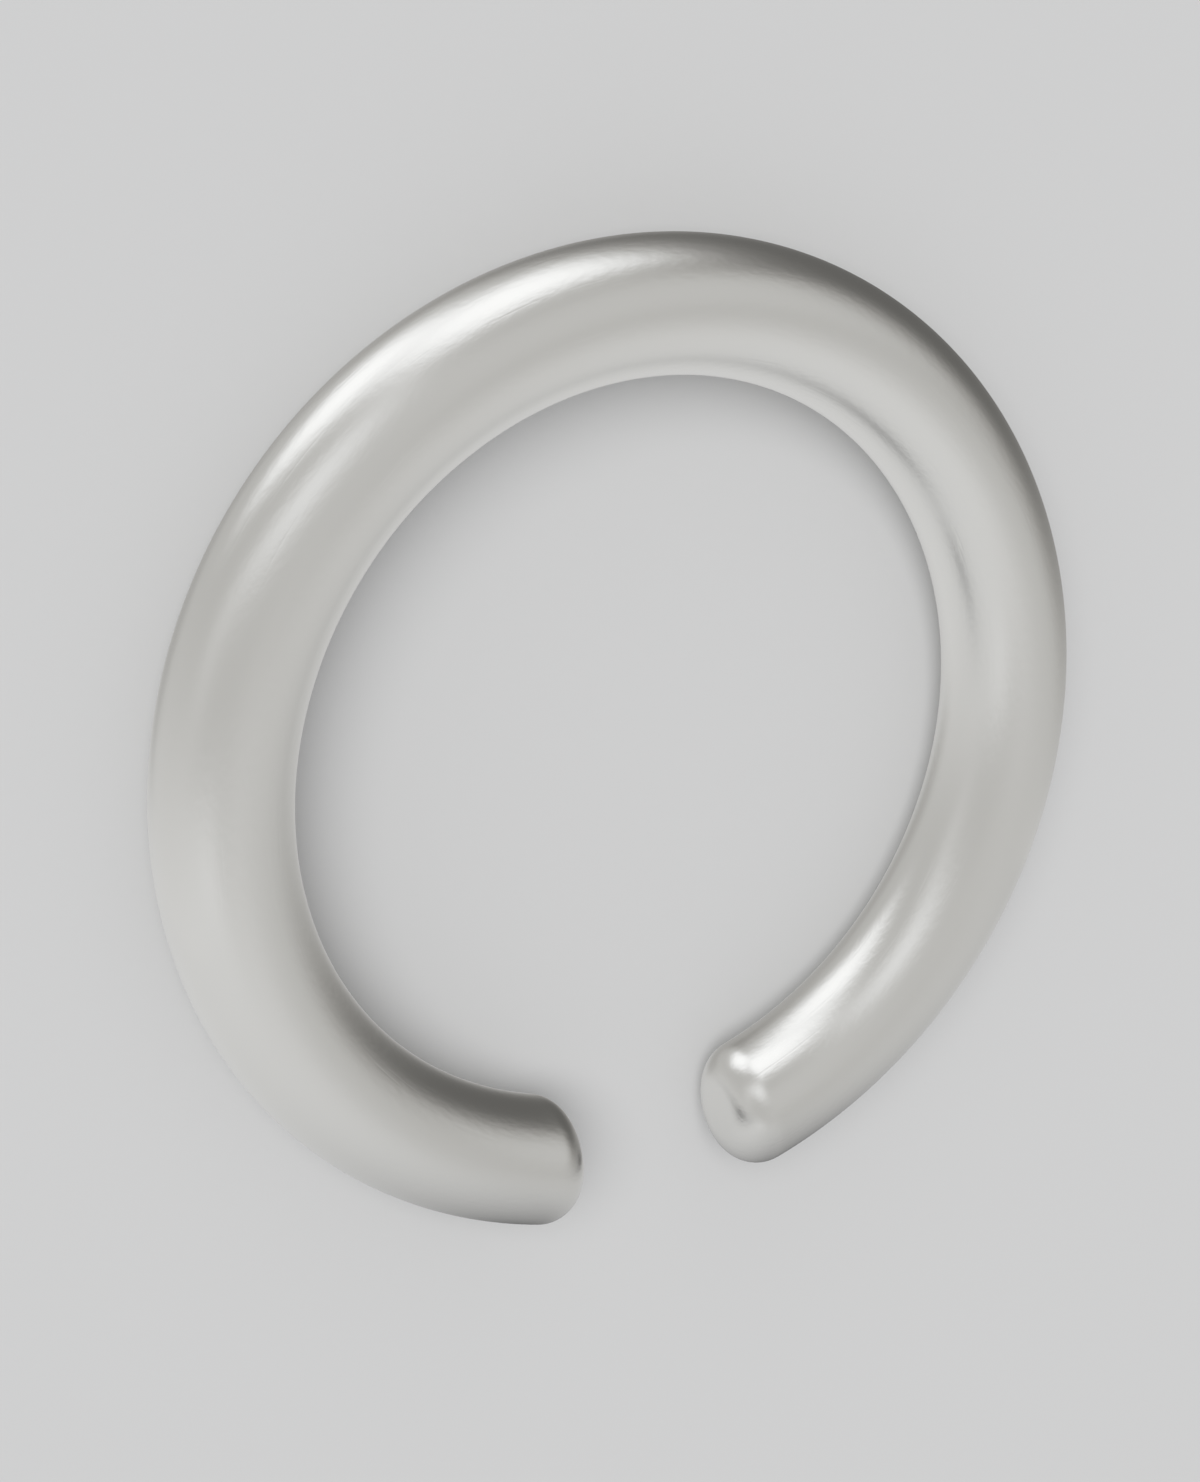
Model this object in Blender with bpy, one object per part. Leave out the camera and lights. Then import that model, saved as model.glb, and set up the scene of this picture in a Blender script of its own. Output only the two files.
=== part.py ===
"""Open cuff ring: one round bar, bent into a ring and cut through by a parallel gap.

The ring lies on its side. Its axis is +Z, the gap faces -Y, and the bar rests on z = 0.
Ring angles start at the middle of the gap and run once round, first towards +X.
"""

import math

import bmesh
import bpy

MM = 0.001

# Driving dimensions
FINGER_DIAMETER = 17.0 * MM  # the hole that the finger goes through
BAR_DIAMETER = 3.0 * MM  # thickness of the round bar
GAP_WIDTH = 4.1 * MM  # between the two flat end faces, which are parallel
END_ROUNDING = 0.93 * MM  # radius of the rounded edge round each end face

# Fineness of the facets
FACETS_ROUND_BAR = 32  # a multiple of four, so that a flat facet lies on the ground
STEPS_ALONG_BAR = 96
STEPS_IN_ROUNDING = 6

# Satin white metal, as linear colour
METAL_COLOUR = (0.80, 0.80, 0.755, 1.0)
METAL_ROUGHNESS = 0.27

# Sizes that follow from the driving dimensions
BAR_RADIUS = BAR_DIAMETER / 2
CENTRELINE_RADIUS = FINGER_DIAMETER / 2 + BAR_RADIUS
CORNER_RADIUS = BAR_RADIUS / math.cos(math.pi / FACETS_ROUND_BAR)  # facets touch the true bar


def angles_round_bar():
    """Directions of the bar's corners, from the outside of the ring up and over to the inside."""
    step = 2 * math.pi / FACETS_ROUND_BAR
    return [(facet + 0.5) * step for facet in range(FACETS_ROUND_BAR)]


def angle_of_rounding(around):
    """Ring angle at which the rounding of the right end meets the bar, on one line along the bar.

    The rounding is what a ball leaves that rolls inside the bar and touches the end face.
    """
    ball_radius_from_axis = CENTRELINE_RADIUS + (CORNER_RADIUS - END_ROUNDING) * math.cos(around)
    ball_to_middle_of_gap = GAP_WIDTH / 2 + END_ROUNDING
    return math.asin(ball_to_middle_of_gap / ball_radius_from_axis)


def point_in_bar(ring_angle, around, from_centreline):
    """A point at this ring angle, in this direction round the bar and this far from its middle."""
    from_axis = CENTRELINE_RADIUS + from_centreline * math.cos(around)
    return (
        from_axis * math.sin(ring_angle),
        -from_axis * math.cos(ring_angle),
        BAR_RADIUS + from_centreline * math.sin(around),
    )


def bar_loop(share):
    """One closed loop of corners round the bar: share 0 is next to the right end, 1 to the left."""
    loop = []
    for around in angles_round_bar():
        start = angle_of_rounding(around)
        ring_angle = start + share * (2 * math.pi - 2 * start)
        loop.append(point_in_bar(ring_angle, around, CORNER_RADIUS))
    return loop


def right_end_loop(share):
    """One loop of the right end's rounding: share 0 is the rim of the end face, 1 meets the bar."""
    loop = []
    for around in angles_round_bar():
        ring_angle = angle_of_rounding(around)
        ball = point_in_bar(ring_angle, around, CORNER_RADIUS - END_ROUNDING)
        side = (
            math.cos(around) * math.sin(ring_angle),
            -math.cos(around) * math.cos(ring_angle),
            math.sin(around),
        )
        towards_gap = (-1.0, 0.0, 0.0)
        turn = math.acos(side[0] * towards_gap[0])
        weight_of_side = math.sin(share * turn) / math.sin(turn)
        weight_of_end = math.sin((1 - share) * turn) / math.sin(turn)
        loop.append(
            tuple(
                centre + END_ROUNDING * (weight_of_side * s + weight_of_end * e)
                for centre, s, e in zip(ball, side, towards_gap)
            )
        )
    return loop


def mirrored(loop):
    """The same loop on the other side of the gap's middle."""
    return [(-x, y, z) for x, y, z in loop]


def all_loops():
    """Every loop of corners, from the right end face round the ring to the left end face."""
    right_end = [right_end_loop(step / STEPS_IN_ROUNDING) for step in range(STEPS_IN_ROUNDING)]
    bar = [bar_loop(step / STEPS_ALONG_BAR) for step in range(STEPS_ALONG_BAR + 1)]
    left_end = [mirrored(loop) for loop in reversed(right_end)]
    return right_end + bar + left_end


def skin(mesh, loops):
    """Joins each loop to the next with four-sided faces and closes both ends with a flat face."""
    shell = bmesh.new()
    rows = [[shell.verts.new(point) for point in loop] for loop in loops]
    for row, next_row in zip(rows, rows[1:]):
        for corner in range(FACETS_ROUND_BAR):
            after = (corner + 1) % FACETS_ROUND_BAR
            shell.faces.new((row[corner], row[after], next_row[after], next_row[corner]))
    shell.faces.new(rows[0])
    shell.faces.new(rows[-1])
    bmesh.ops.recalc_face_normals(shell, faces=shell.faces)
    shell.to_mesh(mesh)
    shell.free()
    mesh.shade_smooth()


def satin_metal():
    """White metal with a soft satin sheen."""
    material = bpy.data.materials.new("satin_metal")
    material.use_nodes = True
    shader = material.node_tree.nodes["Principled BSDF"]
    shader.inputs["Base Color"].default_value = METAL_COLOUR
    shader.inputs["Metallic"].default_value = 1.0
    shader.inputs["Roughness"].default_value = METAL_ROUGHNESS
    return material


def clear_scene():
    for leftover in list(bpy.data.objects):
        bpy.data.objects.remove(leftover, do_unlink=True)


def make_cuff_band():
    """The whole ring: it is a single piece of bar."""
    mesh = bpy.data.meshes.new("cuff_band")
    skin(mesh, all_loops())
    mesh.materials.append(satin_metal())
    band = bpy.data.objects.new("cuff_band", mesh)
    bpy.context.scene.collection.objects.link(band)
    return band


def main():
    clear_scene()
    make_cuff_band()


main()
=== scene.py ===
# Open cuff ring of satin silver, lying on its side on a plain pale floor.
# Lengths are in millimetres and angles in degrees. They become metres and radians where they are used.

import math

import bpy
import numpy as np
from mathutils import Matrix, Vector


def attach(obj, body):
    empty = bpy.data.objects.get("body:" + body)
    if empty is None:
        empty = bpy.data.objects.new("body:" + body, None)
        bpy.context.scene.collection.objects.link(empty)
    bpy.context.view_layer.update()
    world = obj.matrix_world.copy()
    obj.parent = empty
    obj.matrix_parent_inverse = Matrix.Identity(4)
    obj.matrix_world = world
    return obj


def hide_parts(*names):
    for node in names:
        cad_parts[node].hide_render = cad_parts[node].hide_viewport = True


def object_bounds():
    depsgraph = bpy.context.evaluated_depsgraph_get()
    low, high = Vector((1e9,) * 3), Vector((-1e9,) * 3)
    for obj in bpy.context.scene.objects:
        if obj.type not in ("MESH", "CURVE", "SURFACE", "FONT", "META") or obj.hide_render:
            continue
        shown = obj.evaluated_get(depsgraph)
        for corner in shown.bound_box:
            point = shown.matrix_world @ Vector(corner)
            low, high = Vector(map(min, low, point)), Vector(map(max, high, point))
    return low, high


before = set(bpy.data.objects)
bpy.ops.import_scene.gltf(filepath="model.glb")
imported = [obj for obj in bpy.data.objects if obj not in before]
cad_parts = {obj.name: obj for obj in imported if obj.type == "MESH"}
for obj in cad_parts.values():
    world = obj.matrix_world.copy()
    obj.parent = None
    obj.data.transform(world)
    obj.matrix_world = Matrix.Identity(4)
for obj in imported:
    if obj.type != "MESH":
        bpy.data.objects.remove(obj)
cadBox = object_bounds()

metresPerMm = 0.001


# Shader maths: an expression on wires adds its Math nodes.
# A wire wraps one output socket, or none yet, in a node tree.
class Wire:

    def __init__(self, tree, socket=None):
        self.tree = tree
        self.socket = socket

    def node(self, kind, settings=None, inputs=None, output=0):
        # Adds any node: its settings first, then the values or links of its sockets.
        made = self.tree.nodes.new(kind)
        for name, value in (settings or {}).items():
            setattr(made, name, value)
        for key, value in (inputs or {}).items():
            if isinstance(value, Wire):
                self.tree.links.new(value.socket, made.inputs[key])
            else:
                made.inputs[key].default_value = value
        return Wire(self.tree, made.outputs[output] if len(made.outputs) else None)

    def math(self, operation, first, second=None):
        inputs = {0: first} if second is None else {0: first, 1: second}
        return self.node("ShaderNodeMath", {"operation": operation}, inputs)

    def __add__(self, other):
        return self.math("ADD", self, other)

    def __radd__(self, other):
        return self.math("ADD", other, self)

    def __sub__(self, other):
        return self.math("SUBTRACT", self, other)

    def __rsub__(self, other):
        return self.math("SUBTRACT", other, self)

    def __mul__(self, other):
        return self.math("MULTIPLY", self, other)

    def __rmul__(self, other):
        return self.math("MULTIPLY", other, self)

    def __truediv__(self, other):
        return self.math("DIVIDE", self, other)

    def __rtruediv__(self, other):
        return self.math("DIVIDE", other, self)

    def __pow__(self, other):
        return self.math("POWER", self, other)

    def dot(self, direction):
        return self.node(
            "ShaderNodeVectorMath",
            {"operation": "DOT_PRODUCT"},
            {0: self, 1: tuple(float(part) for part in direction)},
            "Value",
        )

    def inMm(self):
        # The X, Y and Z of a place, as three wires in millimetres.
        split = self.node("ShaderNodeSeparateXYZ", inputs={0: self}).socket.node
        return [Wire(self.tree, out) / metresPerMm for out in split.outputs]

    def mix(self, first, second):
        # The first colour where this wire is 0, and the second where it is 1.
        inputs = {"Factor": self, "A": (*first, 1.0), "B": (*second, 1.0)}
        return self.node("ShaderNodeMix", {"data_type": "RGBA"}, inputs, "Result")

    def ramp(self, low, high, fromValue, toValue):
        # Turns low..high smoothly into fromValue..toValue.
        inputs = {"Value": self, "From Min": low, "From Max": high, "To Min": fromValue, "To Max": toValue}
        return self.node("ShaderNodeMapRange", {"interpolation_type": "SMOOTHSTEP"}, inputs)


def emptyTree(owner):
    # The cleared node tree of a material or a world.
    owner.use_nodes = True
    owner.node_tree.nodes.clear()
    return Wire(owner.node_tree)


def placeInScene(name, data):
    made = bpy.data.objects.new(name, data)
    bpy.context.scene.collection.objects.link(made)
    return made


def directionAt(azimuth, elevation):
    # Azimuth is counted from +X towards +Y, and elevation from the horizon.
    azimuth = math.radians(azimuth)
    elevation = math.radians(elevation)
    level = math.cos(elevation)
    return level * math.cos(azimuth), level * math.sin(azimuth), math.sin(elevation)


# The ring
cuff = {
    "barDiameter": (cadBox[1].z - cadBox[0].z) / metresPerMm,  # how high the ring lies
    "outsideRadius": cadBox[1].y / metresPerMm,  # the ring's axis is at the origin
    "gapWidth": 4.1,  # between the two flat end faces
    "endRounding": 0.93,  # radius of the rounded edge round each end face
    "stepsAround": 96,
    "stepsAlong": 480,
    "stepsInRounding": 18,
    "stepsInFace": 5,
}


def cuffGrid(size):
    # A grid of points: rows run from the middle of the right end face, round the ring, to the middle
    # of the left one, and columns run round the bar. On the bar a point is the centreline's point at
    # its ring angle, plus the bar's radius towards its column. On the rounding it is the centre of
    # the ball that rolls inside the bar and touches the end face, plus the ball's radius in a
    # direction that turns from the end face's own to the bar's. On the face it shrinks to the middle.
    barRadius = size["barDiameter"] / 2
    rounding = size["endRounding"]
    ringRadius = size["outsideRadius"] - barRadius
    around = (np.arange(size["stepsAround"]) + 0.5) * 2 * np.pi / size["stepsAround"]

    def place(ringAngle, fromCentreline):
        fromAxis = ringRadius + fromCentreline * np.cos(around)
        height = barRadius + fromCentreline * np.sin(around)
        point = np.broadcast_arrays(fromAxis * np.sin(ringAngle), -fromAxis * np.cos(ringAngle), height)
        return np.stack(point, -1)

    ballFromAxis = ringRadius + (barRadius - rounding) * np.cos(around)
    start = np.arcsin((size["gapWidth"] / 2 + rounding) / ballFromAxis)  # where the bar begins
    along = np.linspace(0, 1, size["stepsAlong"])[:, None]
    bar = place(start + along * (2 * np.pi - 2 * start), barRadius)

    ball = place(start, barRadius - rounding)
    outwards = (place(start, barRadius) - ball) / rounding
    towardsGap = np.array([-1.0, 0.0, 0.0])
    turn = np.arccos(outwards @ towardsGap)[None, :, None]
    share = np.linspace(0, 1, size["stepsInRounding"], endpoint=False)[:, None, None]
    direction = (np.sin(share * turn) * outwards + np.sin((1 - share) * turn) * towardsGap) / np.sin(turn)
    rounded = ball + rounding * direction

    middle = rounded[0].mean(0)
    shrink = np.linspace(0, 1, size["stepsInFace"], endpoint=False)[1:, None, None]
    face = middle + shrink * (rounded[0] - middle)

    rightEnd = np.concatenate([face, rounded])
    mirror = np.array([-1.0, 1.0, 1.0])
    rows = np.concatenate([rightEnd, bar, rightEnd[::-1] * mirror])
    return rows, middle, middle * mirror


def closedMesh(name, rows, firstPole, lastPole):
    # Four-sided faces between the rows, and a fan of triangles from each pole to the row beside it.
    rowCount, columnCount = rows.shape[:2]
    index = np.arange(rowCount * columnCount).reshape(rowCount, columnCount)
    after = np.roll(index, -1, axis=1)
    quads = np.stack([index[:-1], after[:-1], after[1:], index[1:]], -1).reshape(-1, 4)
    first = rowCount * columnCount
    last = first + 1
    firstFan = np.stack([np.full(columnCount, first), after[0], index[0]], -1)
    lastFan = np.stack([np.full(columnCount, last), index[-1], after[-1]], -1)
    points = np.concatenate([rows.reshape(-1, 3), [firstPole, lastPole]]) * metresPerMm
    mesh = bpy.data.meshes.new(name)
    mesh.from_pydata(points, [], quads.tolist() + firstFan.tolist() + lastFan.tolist())
    mesh.shade_smooth()
    mesh.update()
    return mesh


satin = {
    "colour": (0.892, 0.880, 0.844),  # a slightly warm white metal
    "paleColour": (0.901, 0.890, 0.856),
    "roughness": 0.25,
    "roughnessSpread": 0.015,
    "cloudSize": 2.5,  # of the soft unevenness in the satin
    "grainWidth": 0.12,  # of the fine grain that the satin finish leaves
    "grainLength": 0.25,
    "grainHeight": 0.004,
    "hairlineWidth": 0.10,
    "hairlineLength": 3.0,
    "hairlineHeight": 0.0010,
    "hairlineEdge": 0.62,  # a hairline begins where the noise reaches this
    "hairlineMiddle": 0.74,  # and is at its deepest from here on
    "rubbedRoughness": 0.03,  # how much smoother the rounded ends are worn
    "rubbedTo": 0.75,  # fully worn up to here, where 1 is the inner edge of the end's rounding
    "rubbedOut": 1.6,  # not worn from here on
    "rubbedFront": -6.0,  # the Y at which the wear is full,
    "rubbedBack": -4.0,  # and at which it has ended, towards the back
}


def alongTheBar(x, y, z, ringRadius, barRadius):
    # A place on the ring as length along the bar and two distances from its centreline, in mm.
    # The length is counted from the middle of the back, so that it jumps in the open gap.
    fromAxis = (x * x + y * y) ** 0.5
    length = x.math("ARCTAN2", x, y) * ringRadius
    return length, fromAxis - ringRadius, z - barRadius


def satinSilver(look, size):
    material = bpy.data.materials.new("satinSilver")
    start = emptyTree(material)
    x, y, z = start.node("ShaderNodeTexCoord", output="Object").inMm()
    barRadius = size["barDiameter"] / 2
    length, sideways, upwards = alongTheBar(x, y, z, size["outsideRadius"] - barRadius, barRadius)

    def noise(patchLength, patchWidth, detail):
        # Uneven patches of this size along the bar and across it, from 0 to 1.
        patches = {0: length / patchLength, 1: sideways / patchWidth, 2: upwards / patchWidth}
        vector = start.node("ShaderNodeCombineXYZ", inputs=patches)
        inputs = {"Vector": vector, "Scale": 1.0, "Detail": detail}
        return start.node("ShaderNodeTexNoise", inputs=inputs)

    clouds = noise(look["cloudSize"], look["cloudSize"], detail=3.0)
    grain = noise(look["grainLength"], look["grainWidth"], detail=2.0)
    hairlines = noise(look["hairlineLength"], look["hairlineWidth"], detail=1.0)
    hairlines = hairlines.ramp(look["hairlineEdge"], look["hairlineMiddle"], 0.0, 1.0)
    height = grain * look["grainHeight"] - hairlines * look["hairlineHeight"]
    bump = start.node("ShaderNodeBump", inputs={"Strength": 1.0, "Distance": metresPerMm, "Height": height})

    fromGap = start.math("ABSOLUTE", x) / (size["gapWidth"] / 2 + size["endRounding"])
    nearGap = fromGap.ramp(look["rubbedTo"], look["rubbedOut"], 1.0, 0.0)
    nearGap = nearGap * y.ramp(look["rubbedBack"], look["rubbedFront"], 0.0, 1.0)
    unevenness = (clouds - 0.5) * (2 * look["roughnessSpread"])
    surface = {
        "Base Color": clouds.mix(look["colour"], look["paleColour"]),
        "Metallic": 1.0,
        "Roughness": look["roughness"] + unevenness - nearGap * look["rubbedRoughness"],
        "Normal": bump,
    }
    shader = start.node("ShaderNodeBsdfPrincipled", inputs=surface)
    start.node("ShaderNodeOutputMaterial", inputs={"Surface": shader})
    return material


def makeCuff(size):
    rows, rightPole, leftPole = cuffGrid(size)
    ring = placeInScene("cuffRing", closedMesh("cuffRing", rows, rightPole, leftPole))
    ring.data.materials.append(satinSilver(satin, size))
    ring.visible_glossy = False  # the metal mirrors the studio alone, and not the far side of the ring
    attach(ring, "root")
    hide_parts("cuff_band")


makeCuff(cuff)
print("ring made")


# Floor
floorLook = {
    "size": 3000.0,
    "colour": (0.58, 0.58, 0.58),
    "roughness": 0.9,
    "specular": 0.1,
    "keyAzimuth": 144,  # where the floor's own soft light comes from
    "keyElevation": 54,
    "keySoftness": 40,  # how wide that light looks from the floor
    "keyStrength": 1.90,
}


def makeFloor(look):
    half = look["size"] / 2 * metresPerMm
    corners = [(-half, -half, 0), (half, -half, 0), (half, half, 0), (-half, half, 0)]
    mesh = bpy.data.meshes.new("floor")
    mesh.from_pydata(corners, [], [(0, 1, 2, 3)])
    floor = placeInScene("floor", mesh)
    material = bpy.data.materials.new("palePaper")
    material.use_nodes = True
    shader = material.node_tree.nodes["Principled BSDF"]
    shader.inputs["Base Color"].default_value = (*look["colour"], 1.0)
    shader.inputs["Roughness"].default_value = look["roughness"]
    shader.inputs["Specular IOR Level"].default_value = look["specular"]
    mesh.materials.append(material)
    floor.visible_glossy = False  # the metal mirrors the studio lights all round instead
    floor.visible_shadow = False
    return floor


def makeFloorKey(look, floor):
    # A wide soft light that only the floor receives. The ring throws its shadow from it.
    data = bpy.data.lights.new("floorKey", "SUN")
    data.energy = look["keyStrength"]
    data.angle = math.radians(look["keySoftness"])
    key = placeInScene("floorKey", data)
    towardsLight = Vector(directionAt(look["keyAzimuth"], look["keyElevation"]))
    key.matrix_world = towardsLight.to_track_quat("Z", "Y").to_matrix().to_4x4()
    litByKey = bpy.data.collections.new("litByFloorKey")
    litByKey.objects.link(floor)
    key.light_linking.receiver_collection = litByKey


makeFloorKey(floorLook, makeFloor(floorLook))
print("floor made")


# Studio light
# The metal mirrors a soft grey studio with a few large cards round it.
studio = {
    "grey": 0.49,
    "backdrop": 0.63,  # what the camera sees past the floor
    "darkLevel": 0.12,
    "darkTint": (1.014, 1.0, 0.971),  # the darkest places are a touch warmer than the bright ones
    "brightLevel": 0.95,
    "brightTint": (0.985, 1.0, 1.028),
    # Each card's middle as azimuth and elevation, its half width and half height as seen from the
    # ring, how far it is turned, and how bright it is.
    "cards": {
        "wideFill": (-103, -2, 75, 79, 20, 0.71),
        "highGlow": (160, 49, 33, 33, -36, 0.89),
        "softboxHigh": (88, 2, 22, 26, -57, 1.13),
        "softboxLow": (116, -26, 20, 21, 22, 1.13),
        "blackCard": (25, -19, 37, 58, 4, 0.12),
        "greyTop": (41, 58, 46, 22, 60, 0.56),
        "greyBelow": (-36, -90, 12, 30, -50, 0.40),
        "greyBack": (176, 51, 22, 42, -5, 0.51),
    },
}


def cardMask(direction, azimuth, elevation, halfWidth, halfHeight, turn):
    # 1 in the card's middle, falling to 0 past its edges: exp(-(x^4 + y^4)), where x and y are the
    # angles from the middle over the card's half width and half height.
    middle = np.array(directionAt(azimuth, elevation))
    level = np.array(directionAt(azimuth + 90, 0))
    upright = np.cross(middle, level)
    turn = math.radians(turn)
    sideAxis = level * math.cos(turn) + upright * math.sin(turn)
    upAxis = upright * math.cos(turn) - level * math.sin(turn)
    sideAngle = direction.math("ARCTAN2", direction.dot(sideAxis), direction.dot(middle))
    upAngle = direction.math("ARCSINE", direction.dot(upAxis))
    x = sideAngle / math.radians(halfWidth)
    y = upAngle / math.radians(halfHeight)
    x2 = x * x
    y2 = y * y
    return direction.math("EXPONENT", (x2 * x2 + y2 * y2) * -1.0)


def makeStudio(look):
    world = bpy.data.worlds.new("studio")
    bpy.context.scene.world = world
    start = emptyTree(world)
    direction = start.node("ShaderNodeTexCoord", output="Generated")
    light = look["grey"]
    for *shape, brightness in look["cards"].values():
        light = light + cardMask(direction, *shape) * (brightness - light)
    toCamera = start.node("ShaderNodeLightPath", output="Is Camera Ray")
    light = light + toCamera * (look["backdrop"] - light)
    brightShare = light.ramp(look["darkLevel"], look["brightLevel"], 0.0, 1.0)
    tint = brightShare.mix(look["darkTint"], look["brightTint"])
    background = start.node("ShaderNodeBackground", inputs={"Color": tint, "Strength": light})
    start.node("ShaderNodeOutputWorld", inputs={"Surface": background})


makeStudio(studio)


# Painted shade: a grey film that only the metal sees, which paints a contact shadow into the ring's two
# ends.
paintedGapShade = {
    "distance": 11.2,  # from the ring's axis, towards the gap
    "width": 44.0,
    "height": 36.0,
    "stepsAcross": 22,
    "stepsUp": 18,
    "depth": 0.85,  # how much light it takes away in its two darkest places
    "fromMiddle": 3.2,  # where they are, to the left and right of the gap's middle
    "level": 1.5,  # how high they are
    "inwards": 0.85,  # how far the shade spreads towards the gap's middle
    "leftwards": 2.5,  # on the left, away from the middle
    "rightwards": 3.8,  # on the right, away from the middle
    "upwards": 1.6,  # up and down
    "fallOff": 1.5,  # how quickly it fades past that
}


def makePaintedGapShade(look):
    # Painted shade: a sheet of thin grey film that stands just outside the gap. Only the metal sees it,
    # so its reflection paints a shade like a contact shadow into the two ends, darkest towards their
    # edges. The film takes away depth / (1 + d^fallOff) of the light, where d is the distance from the
    # darkest place over how far the shade spreads in that direction.
    across = np.linspace(-0.5, 0.5, look["stepsAcross"] + 1) * look["width"]
    up = np.linspace(-0.5, 0.5, look["stepsUp"] + 1) * look["height"] + look["level"]
    u, v = np.meshgrid(across, up, indexing="ij")
    points = np.stack([u, np.full_like(u, -look["distance"]), v], -1)
    index = np.arange(u.size).reshape(u.shape)
    quads = np.stack([index[:-1, :-1], index[1:, :-1], index[1:, 1:], index[:-1, 1:]], -1).reshape(-1, 4)
    mesh = bpy.data.meshes.new("paintedGapShade")
    mesh.from_pydata(points.reshape(-1, 3) * metresPerMm, [], quads.tolist())
    material = bpy.data.materials.new("paintedShadeFilm")
    start = emptyTree(material)
    place = start.node("ShaderNodeTexCoord", output="Object").inMm()
    x = place[0]
    z = place[2]
    sideways = start.math("ABSOLUTE", x) - look["fromMiddle"]
    onTheRight = start.math("GREATER_THAN", x, 0.0)
    spread = look["leftwards"] + onTheRight * (look["rightwards"] - look["leftwards"])
    outwards = start.math("MAXIMUM", sideways, 0.0) / spread
    inwards = start.math("MINIMUM", sideways, 0.0) / look["inwards"]
    upwards = (z - look["level"]) / look["upwards"]
    squared = outwards * outwards + inwards * inwards + upwards * upwards
    shade = look["depth"] / (1 + squared ** (look["fallOff"] / 2))
    shader = start.node("ShaderNodeBsdfTransparent", inputs={"Color": 1 - shade})
    start.node("ShaderNodeOutputMaterial", inputs={"Surface": shader})
    mesh.materials.append(material)
    film = placeInScene("paintedGapShade", mesh)
    for ray in ("camera", "diffuse", "transmission", "volume_scatter", "shadow"):
        setattr(film, "visible_" + ray, False)


makePaintedGapShade(paintedGapShade)
print("studio light made")


# Camera
lens = {
    "aim": (-1.15, 0.45, 1.5),  # the point in the middle of the picture
    "distance": 52.98,
    "azimuth": 143.2,  # where the camera stands
    "elevation": 56.0,
    "roll": -0.23,
    "focalLength": 58.0,
    "filmSize": 36.0,  # along the picture's long side
    "nearest": 1.0,  # it sees from here
    "farthest": 10000.0,  # to here
}


def makeCamera(look):
    back = Vector(directionAt(look["azimuth"], look["elevation"]))
    right = Vector((0, 1, 0)).cross(back).normalized()  # the ring's back is up in the picture
    up = back.cross(right)
    roll = Matrix.Rotation(math.radians(look["roll"]), 3, "Z")
    turned = Matrix((right, up, back)).transposed() @ roll
    data = bpy.data.cameras.new("camera")
    data.lens = look["focalLength"]
    data.sensor_width = look["filmSize"]
    data.clip_start = look["nearest"] * metresPerMm
    data.clip_end = look["farthest"] * metresPerMm
    camera = placeInScene("camera", data)
    place = (Vector(look["aim"]) + back * look["distance"]) * metresPerMm
    camera.matrix_world = Matrix.LocRotScale(place, turned.to_quaternion(), None)
    bpy.context.scene.camera = camera


makeCamera(lens)
bpy.context.scene.view_settings.view_transform = "Standard"
print("camera made")
